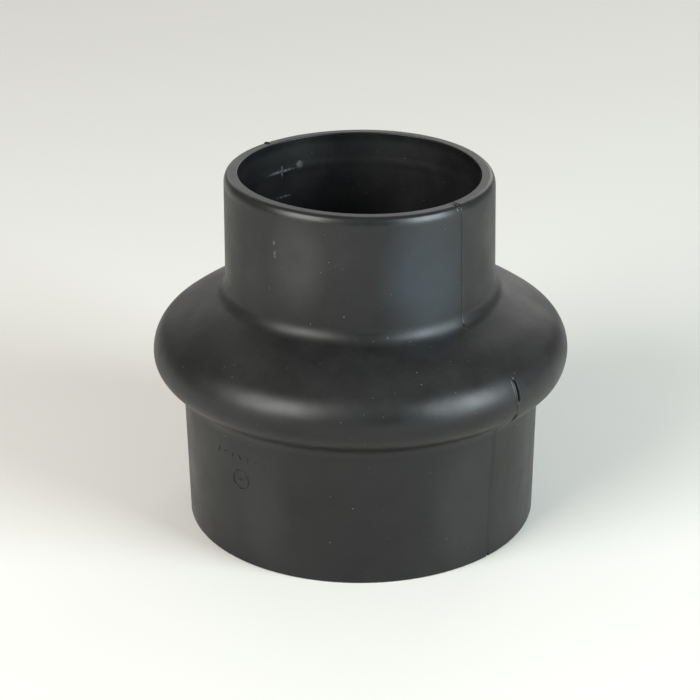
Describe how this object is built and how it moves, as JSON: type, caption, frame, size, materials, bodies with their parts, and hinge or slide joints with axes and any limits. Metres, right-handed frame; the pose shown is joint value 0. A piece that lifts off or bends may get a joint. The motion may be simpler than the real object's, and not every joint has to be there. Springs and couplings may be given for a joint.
{
  "type": "rubber hump reducer",
  "caption": "Moulded rubber pipe reducer: a wide round cuff, a rounded flexible hump and a narrower round cuff on one axis, open right through.",
  "frame": {"origin": "middle of the wide cuff's mouth, on the surface that the part stands on", "axes": "+Z along the bore, from the wide cuff to the narrow cuff; the mould's parting line lies at +X and -X"},
  "size_m": [0.1402, 0.1402, 0.1215],
  "materials": {
    "rubber": "satin, moulded"
  },
  "bodies": {
    "large_end": {"large_cuff": "rubber"},
    "hump_ring": {"lower_hump": "rubber", "upper_hump": "rubber"},
    "shoulder_ring": {"shoulder": "rubber"},
    "small_end": {"small_cuff": "rubber"}
  },
  "joints": [
    {"name": "lower_tilt", "type": "hinge", "parent": "large_end", "child": "hump_ring", "pos_m": [0, 0, 0.0528], "axis": [1, 0, 0], "range_deg": [-5, 5], "stiffness_Nm_per_rad": 15},
    {"name": "squeeze", "type": "slide", "parent": "hump_ring", "child": "shoulder_ring", "axis": [0, 0, 1], "range_m": [-0.006, 0.004], "stiffness_N_per_m": 8000},
    {"name": "upper_tilt", "type": "hinge", "parent": "shoulder_ring", "child": "small_end", "pos_m": [0, 0, 0.0767], "axis": [0, 1, 0], "range_deg": [-5, 5], "stiffness_Nm_per_rad": 10}
  ]
}
